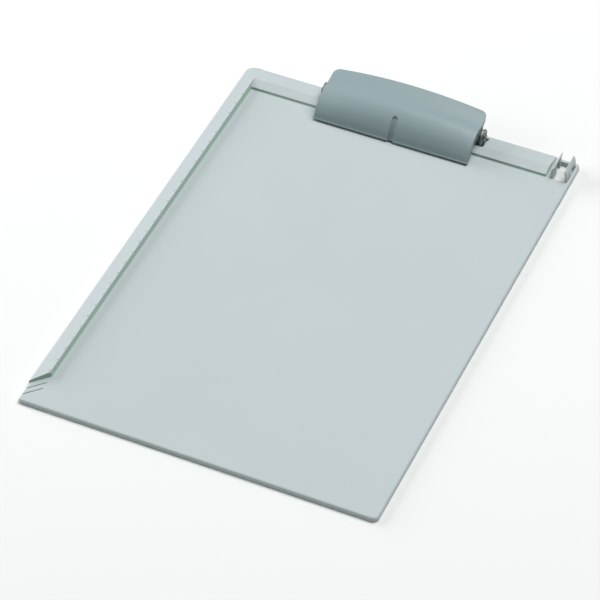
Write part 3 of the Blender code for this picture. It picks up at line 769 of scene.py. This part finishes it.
LEVER_X = (LEVER_LOW.x + LEVER_HIGH.x) / 2
LEVER_HALF = (LEVER_HIGH.x - LEVER_LOW.x) / 2
LEVER_PROFILE = (
    (131.15, 3.7),
    (134.35, 9.6),
    (139.35, 14.5),
    (146.95, 17.8),
    (155.65, 18.1),
    (162.75, 19.3),
    (169.85, 20.5),
)
CHEEK_FRONT = (
    (146.65, 12.8),
    (140.85, 9.6),
    (138.55, 6.8),
    (136.45, 5.3),
    (135.35, 4.9),
    (133.85, 4.9),
)
RIB_REAR = ((162.35, 16.5), (159.45, 14.7))
LUG_RADIUS = 4.4 * MM
SPRING_ANCHOR = (156.95 * MM, 13.8 * MM)

RIB_WALL = 2.0 * MM
RIB_X = 13.0 * MM
RIB_FRONT = 8.0 * MM
RIB_ENDS = (2.2 * MM, 3.6 * MM)
CHEEK_INSET = 0.2 * MM
JAW_INSET = 0.3 * MM
JAW_HEIGHT = 3.9 * MM
JAW_SLOPE = 2.4 * MM
JAW_END_GAP = 1.0 * MM
AXLE_HOLE_RADIUS = 1.75 * MM
ANCHOR_HOLE_RADIUS = 1.05 * MM
HOLE_REACH = (-4.0 * MM, 3.0 * MM)
STRIP_RADIUS = 0.18 * MM


def smooth_path(points, steps):
    """A Catmull-Rom curve through the points, each stretch in equal steps."""
    knots = [Vector(point) for point in points]
    knots.insert(0, 2 * knots[0] - knots[1])
    knots.append(2 * knots[-1] - knots[-2])
    path = []
    for i in range(1, len(knots) - 2):
        p0, p1, p2, p3 = knots[i - 1 : i + 3]
        square = 2 * p0 - 5 * p1 + 4 * p2 - p3
        cube = 3 * p1 - p0 - 3 * p2 + p3
        for step in range(steps):
            t = step / steps
            path.append(p1 + ((p2 - p0) * t + square * t**2 + cube * t**3) / 2)
    path.append(knots[-2])
    return path


def lever_section(across, crown, steps=16):
    """The lever's outer section in metres. Across runs from -1 to 1, highest in the middle."""
    lift = 1 + crown * (1 - across**2)
    foot_z = LEVER_PROFILE[0][1]
    path = smooth_path(LEVER_PROFILE, steps)
    return [Vector((point.x, foot_z + (point.y - foot_z) * lift)) * MM for point in path]


def trimmed(path, low_z, high_y):
    """The part of a section from the lip's height to the rear edge, with its ends worked out."""
    result = []
    for first, second in zip(path, path[1:]):
        if second.y <= low_z or first.x >= high_y:
            continue
        if first.y < low_z:
            first = first.lerp(second, (low_z - first.y) / (second.y - first.y))
        if second.x > high_y:
            second = first.lerp(second, (high_y - first.x) / (second.x - first.x))
        if not result:
            result.append(first)
        result.append(second)
    return result


def resampled(path, fractions):
    """Points at given fractions of a path's length."""
    lengths = [0.0]
    for first, second in zip(path, path[1:]):
        lengths.append(lengths[-1] + (second - first).length)
    points = []
    for fraction in fractions:
        target = fraction * lengths[-1]
        last = len(lengths) - 1
        index = next((i for i in range(1, last) if lengths[i] >= target - 1e-12), last)
        stretch = lengths[index] - lengths[index - 1]
        points.append(path[index - 1].lerp(path[index], (target - lengths[index - 1]) / stretch))
    return points


def lever_columns():
    """Places across the lever from -1 to 1, close together at the groove and the ends."""
    ends = [1.0 - 0.0125 * i for i in range(0, 5)]
    coarse = [0.95 - 0.9 * i / 26 for i in range(1, 27)]
    fine = [0.05 - 0.05 * i / 15 for i in range(1, 16)]
    half = ends + coarse + fine
    return [-place for place in half] + [place for place in reversed(half) if place > 0]


def lever_rows():
    """Fractions of the section's length, closer together at the lip and the rear edge."""
    lip = [0.004 * i for i in range(10)]
    count = 84
    eased = [(1 - math.cos(math.pi * i / count)) / 2 for i in range(count + 1)]
    rest = [place * 0.35 + i / count * 0.65 for i, place in enumerate(eased)]
    return lip + [fraction for fraction in rest if fraction > 0.04]


def smooth_step(value):
    """Rises from 0 to 1 with level ends."""
    value = min(1.0, max(0.0, value))
    return value * value * (3 - 2 * value)


def lever_shell(sizes):
    """The crowned shell: a grid over the outer surface with its groove, then given its wall."""
    columns = lever_columns()
    rows = lever_rows()
    bm = bmesh.new()
    bmesh.ops.create_grid(bm, x_segments=len(columns) - 1, y_segments=len(rows) - 1, size=1.0)
    corner_y = LEVER_HIGH.y - sizes.corner_radius
    sections = []
    for place in columns:
        outer = lever_section(place, sizes.crown)
        sections.append(resampled(trimmed(outer, LEVER_LOW.z, LEVER_HIGH.y), rows))
    end_section = sections[0]
    section_length = sum(
        (second - first).length for first, second in zip(end_section, end_section[1:])
    )
    groove_half = sizes.groove_width / 2
    groove_end = LEVER_LOW.y + sizes.groove_length - groove_half
    for vert in bm.verts:
        column = round((vert.co.x + 1) / 2 * (len(columns) - 1))
        row = round((vert.co.y + 1) / 2 * (len(rows) - 1))
        point = sections[column][row]
        half = LEVER_HALF
        if point.x > corner_y:
            reach = min(1.0, (point.x - corner_y) / sizes.corner_radius)
            half -= sizes.corner_radius * (1 - math.sqrt(max(0.0, 1 - reach**2)))
        x = columns[column] * half
        before = sections[column][max(0, row - 1)]
        after = sections[column][min(len(rows) - 1, row + 1)]
        run = (after - before).normalized()
        from_axis = math.hypot(x, max(0.0, point.x - groove_end))
        depth = sizes.groove_depth * smooth_step((groove_half - from_axis) / (0.3 * MM) + 0.5)
        from_lip = rows[row] * section_length
        depth -= sizes.lip_bead * smooth_step((1.0 * MM - from_lip) / (0.35 * MM) + 0.5)
        vert.co = (LEVER_X + x, point.x + run.y * depth, point.y - run.x * depth)
    bmesh.ops.recalc_face_normals(bm, faces=bm.faces)
    if sum(face.normal.z for face in bm.faces) < 0:
        bmesh.ops.reverse_faces(bm, faces=bm.faces)
    shell = add_mesh_as_is("lever_moulding", bm, "lever")
    wall = shell.modifiers.new("wall", "SOLIDIFY")
    wall.thickness = sizes.wall
    wall.offset = -1.0
    rim = shell.modifiers.new("rim", "BEVEL")
    rim.width = sizes.rim_radius
    rim.segments = 4
    rim.limit_method = "ANGLE"
    rim.angle_limit = math.radians(55)
    return applied(shell)


def rib_mesh(x, sizes, reaches_jaw, wall):
    """A rib under the shell: along the middle of its wall, and back round the pivot's lug."""
    path = lever_section(x / LEVER_HALF, sizes.crown, 5)
    path = trimmed(path, LEVER_LOW.z + RIB_ENDS[0], LEVER_HIGH.y - RIB_ENDS[1])
    top = []
    for before, here, after in zip(path, path[1:], path[2:]):
        run = (after - before).normalized()
        top.append((here.x + run.y * sizes.wall / 2, here.y - run.x * sizes.wall / 2))
    if not reaches_jaw:
        top = [point for point in top if point[0] > PIVOT.y - RIB_FRONT]
    lug = arc((PIVOT.y, PIVOT.z), LUG_RADIUS, 20, -200, 28)
    front = [(y * MM, z * MM) for y, z in CHEEK_FRONT] if reaches_jaw else []
    rear = [(y * MM, z * MM) for y, z in RIB_REAR]
    low_x = LEVER_X + x - wall / 2
    return slab_mesh([*top, *rear, *lug, *front], low_x, low_x + wall)


class CLIPBOARD_OT_lever(bpy.types.Operator):
    """Model the lever with its cheeks, ribs and jaw"""

    bl_idname = "clipboard.lever"
    bl_label = "Lever"

    def execute(self, context):
        sizes = context.scene.clipboard_lever
        lever = lever_shell(sizes)
        cheek_x = LEVER_HALF - CHEEK_INSET - RIB_WALL / 2
        for side in (-1, 1):
            cheek = add_mesh("cheek", rib_mesh(side * cheek_x, sizes, True, RIB_WALL), "lever")
            combine(lever, cheek, "UNION")
            rib = add_mesh("rib", rib_mesh(side * RIB_X, sizes, False, RIB_WALL), "lever")
            combine(lever, rib, "UNION")
        rear_y = STRIP_HIGH.y + JAW_INSET
        top_z = LEVER_LOW.z + JAW_HEIGHT
        outline = [
            (STRIP_LOW.y + JAW_INSET, LEVER_LOW.z),
            (rear_y, LEVER_LOW.z),
            (rear_y, top_z),
            (STRIP_LOW.y + JAW_SLOPE, top_z),
        ]
        bar = slab_mesh(outline, LEVER_LOW.x + JAW_END_GAP, LEVER_HIGH.x - JAW_END_GAP)
        combine(lever, add_mesh("jaw_bar", bar, "lever"), "UNION")
        inner_x, outer_x = (LEVER_HALF + reach for reach in HOLE_REACH)
        ends = [(LEVER_X + side * outer_x, PIVOT.y, PIVOT.z) for side in (-1, 1)]
        hole = add_mesh("axle_hole", rod_mesh(*ends, AXLE_HOLE_RADIUS), "lever")
        combine(lever, hole, "DIFFERENCE")
        for side in (-1, 1):
            ends = [(LEVER_X + side * x, *SPRING_ANCHOR) for x in (inner_x, outer_x)]
            hole = add_mesh("anchor_hole", rod_mesh(*ends, ANCHOR_HOLE_RADIUS), "lever")
            combine(lever, hole, "DIFFERENCE")
        soften(lever, 38.0)
        ride_as(lever, "clip", "clip_plastic", "clip_lever")
        return {"FINISHED"}


class CLIPBOARD_OT_grip_strip(bpy.types.Operator):
    """Model the rubber strip under the lip"""

    bl_idname = "clipboard.grip_strip"
    bl_label = "Grip Strip"

    def execute(self, context):
        bm = box_mesh(STRIP_LOW, STRIP_HIGH, STRIP_RADIUS, 3)
        strip = add_mesh("grip_strip_rubber", bm, "rubber")
        soften(strip, 50.0)
        ride_as(strip, "clip", "grip_rubber", "grip_strip")
        return {"FINISHED"}


# ------------------------------------------------------------------------------------------- hinge


class CLIPBOARD_OT_hinge(bpy.types.Operator):
    """Give the bracket, axle, caps and rivets their metal finishes"""

    bl_idname = "clipboard.hinge"
    bl_label = "Hinge"

    def execute(self, context):
        finishes = {
            "hinge_bracket": "steel",
            "hinge_axle": "axle",
            "axle_cap_left": "spring",
            "axle_cap_right": "spring",
            "rivet_left": "rivet",
            "rivet_right": "rivet",
        }
        for node, label in finishes.items():
            materials = frame["nodes"][node].data.materials
            materials.clear()
            materials.append(finish(label))
        return {"FINISHED"}


COIL_RADIUS = 3.0 * MM
WIRE_RADIUS = 0.7 * MM
COIL_TURNS = 6.0
COIL_PITCH = 1.75 * MM
COIL_OUTER_X = 49.2 * MM
COIL_STEPS = 32


def spring_path(side):
    """From the leg over the bracket's rear flange, round the coil and out through the cheek."""
    anchor = Vector(SPRING_ANCHOR) - Vector((PIVOT.y, PIVOT.z))
    end_angle = math.atan2(anchor.y, anchor.x) + math.acos(COIL_RADIUS / anchor.length)
    swept = 2 * math.pi * (COIL_TURNS + 1) - (math.pi / 2 + end_angle)
    count = round(swept / (2 * math.pi) * COIL_STEPS)
    length = swept / (2 * math.pi) * COIL_PITCH
    inner_x = COIL_OUTER_X - length
    leg_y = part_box("torsion_spring_left")[1].y
    path = [(inner_x, leg_y, PIVOT.z - COIL_RADIUS)]
    for i in range(count + 1):
        angle = -math.pi / 2 - swept * i / count
        y = PIVOT.y + COIL_RADIUS * math.cos(angle)
        z = PIVOT.z + COIL_RADIUS * math.sin(angle)
        path.append((inner_x + length * i / count, y, z))
    path.append((COIL_OUTER_X + WIRE_RADIUS / 2, *SPRING_ANCHOR))
    path.append((LEVER_HALF + CHEEK_INSET, *SPRING_ANCHOR))
    return [(LEVER_X + side * x, y, z) for x, y, z in path], (inner_x, COIL_OUTER_X)


class CLIPBOARD_OT_springs(bpy.types.Operator):
    """Wind the two torsion springs"""

    bl_idname = "clipboard.springs"
    bl_label = "Springs"

    def execute(self, context):
        for side, name in ((-1, "torsion_spring_left"), (1, "torsion_spring_right")):
            path, (inner_x, outer_x) = spring_path(side)
            curve = bpy.data.curves.new(f"{name}_wire", "CURVE")
            curve.dimensions = "3D"
            curve.bevel_depth = WIRE_RADIUS
            curve.bevel_resolution = 3
            curve.use_fill_caps = True
            spline = curve.splines.new("POLY")
            spline.points.add(len(path) - 1)
            for point, place in zip(spline.points, path):
                point.co = (*place, 1.0)
            guide = bpy.data.objects.new("wire_guide", curve)
            context.scene.collection.objects.link(guide)
            context.view_layer.update()
            evaluated = guide.evaluated_get(context.evaluated_depsgraph_get())
            mesh = bpy.data.meshes.new_from_object(evaluated)
            bpy.data.objects.remove(guide, do_unlink=True)
            bm = bmesh.new()
            bm.from_mesh(mesh)
            bmesh.ops.remove_doubles(bm, verts=bm.verts, dist=0.005 * MM)
            spring = add_mesh(f"{name}_wire", bm, "spring")
            spring.data.shade_smooth()
            spring.data.set_sharp_from_angle(angle=math.radians(60))
            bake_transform(spring)
            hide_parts(name)
        return {"FINISHED"}


# ------------------------------------------------------------------------------------------- stage

CAMERA_PLACE = (0.5850, -1.28124, 1.4130)
CAMERA_AZIMUTH = 24.77
CAMERA_ELEVATION = 45.42
CAMERA_ROLL = -0.55
CAMERA_LENS = 195.06
FLOOR_HALF = 6.0
FLOOR_GAP = 0.05 * MM
FLOOR_COLOR = (0.745, 0.745, 0.745)
WORLD_COLOR = (0.76, 1.0, 0.88, 1.0)
WORLD_STRENGTH = 0.11

# Place in metres, size in metres and power in watts. Both lights aim at the origin.
SOFTBOXES = {
    "key_softbox": ((-1.7, 0.1, 0.6), (2.0, 1.0), 30.0),
    "top_softbox": ((0.7, 0.9, 3.0), (2.4, 2.4), 124.0),
}


class CLIPBOARD_OT_stage(bpy.types.Operator):
    """Set out the floor, the soft lights and the camera"""

    bl_idname = "clipboard.stage"
    bl_label = "Stage"

    def softbox(self, name, place, size, power):
        light = bpy.data.lights.new(name, "AREA")
        light.shape = "RECTANGLE"
        light.size, light.size_y = size
        light.energy = power
        obj = bpy.data.objects.new(name, light)
        aim = (-Vector(place)).to_track_quat("-Z", "Y")
        obj.matrix_world = Matrix.Translation(place) @ aim.to_matrix().to_4x4()
        bpy.context.scene.collection.objects.link(obj)

    def execute(self, context):
        scene = context.scene
        bm = bmesh.new()
        bmesh.ops.create_grid(bm, x_segments=1, y_segments=1, size=FLOOR_HALF)
        bmesh.ops.translate(bm, vec=(0, 0, -FLOOR_GAP), verts=bm.verts)
        floor = add_mesh_as_is("floor", bm)
        floor.data.materials.append(paper_white("floor_paper", FLOOR_COLOR, 0.9))
        for name, (place, size, power) in SOFTBOXES.items():
            self.softbox(name, place, size, power)
        world = bpy.data.worlds.new("studio")
        world.use_nodes = True
        background = world.node_tree.nodes["Background"]
        background.inputs["Color"].default_value = WORLD_COLOR
        background.inputs["Strength"].default_value = WORLD_STRENGTH
        scene.world = world
        scene.view_settings.view_transform = "Standard"
        camera = bpy.data.cameras.new("camera")
        camera.lens = CAMERA_LENS
        camera.sensor_width = 36.0
        camera.clip_end = 20.0
        viewer = bpy.data.objects.new("camera", camera)
        viewer.matrix_world = (
            Matrix.Translation(CAMERA_PLACE)
            @ Matrix.Rotation(math.radians(CAMERA_AZIMUTH), 4, "Z")
            @ Matrix.Rotation(math.radians(90 - CAMERA_ELEVATION), 4, "X")
            @ Matrix.Rotation(math.radians(CAMERA_ROLL), 4, "Z")
        )
        scene.collection.objects.link(viewer)
        scene.camera = viewer
        return {"FINISHED"}


OPERATORS = (
    CLIPBOARD_OT_stage,
    CLIPBOARD_OT_board,
    CLIPBOARD_OT_pen_holder,
    CLIPBOARD_OT_lever,
    CLIPBOARD_OT_grip_strip,
    CLIPBOARD_OT_hinge,
    CLIPBOARD_OT_springs,
)


class CLIPBOARD_PT_panel(bpy.types.Panel):
    """Lists the clipboard's pieces"""

    bl_label = "Clipboard"
    bl_idname = "CLIPBOARD_PT_panel"
    bl_space_type = "VIEW_3D"
    bl_region_type = "UI"
    bl_category = "Clipboard"

    def draw(self, context):
        layout = self.layout
        for operator in OPERATORS:
            layout.operator(operator.bl_idname)
        for group in GROUPS:
            sizes = getattr(context.scene, group)
            box = layout.box()
            for name in sizes.__annotations__:
                box.prop(sizes, name)


GROUPS = {
    "clipboard_board": BoardSizes,
    "clipboard_lever": LeverSizes,
    "clipboard_finishes": Finishes,
}


def register():
    for group in GROUPS.values():
        bpy.utils.register_class(group)
    for operator in OPERATORS:
        bpy.utils.register_class(operator)
    bpy.utils.register_class(CLIPBOARD_PT_panel)
    for name, group in GROUPS.items():
        setattr(bpy.types.Scene, name, bpy.props.PointerProperty(type=group))


def unregister():
    for name in GROUPS:
        delattr(bpy.types.Scene, name)
    bpy.utils.unregister_class(CLIPBOARD_PT_panel)
    for operator in reversed(OPERATORS):
        bpy.utils.unregister_class(operator)
    for group in GROUPS.values():
        bpy.utils.unregister_class(group)


def main():
    register()
    bpy.ops.clipboard.stage()
    bpy.ops.clipboard.board()
    bpy.ops.clipboard.pen_holder()
    bpy.ops.clipboard.lever()
    bpy.ops.clipboard.grip_strip()
    bpy.ops.clipboard.hinge()
    bpy.ops.clipboard.springs()


if __name__ == "__main__":
    main()
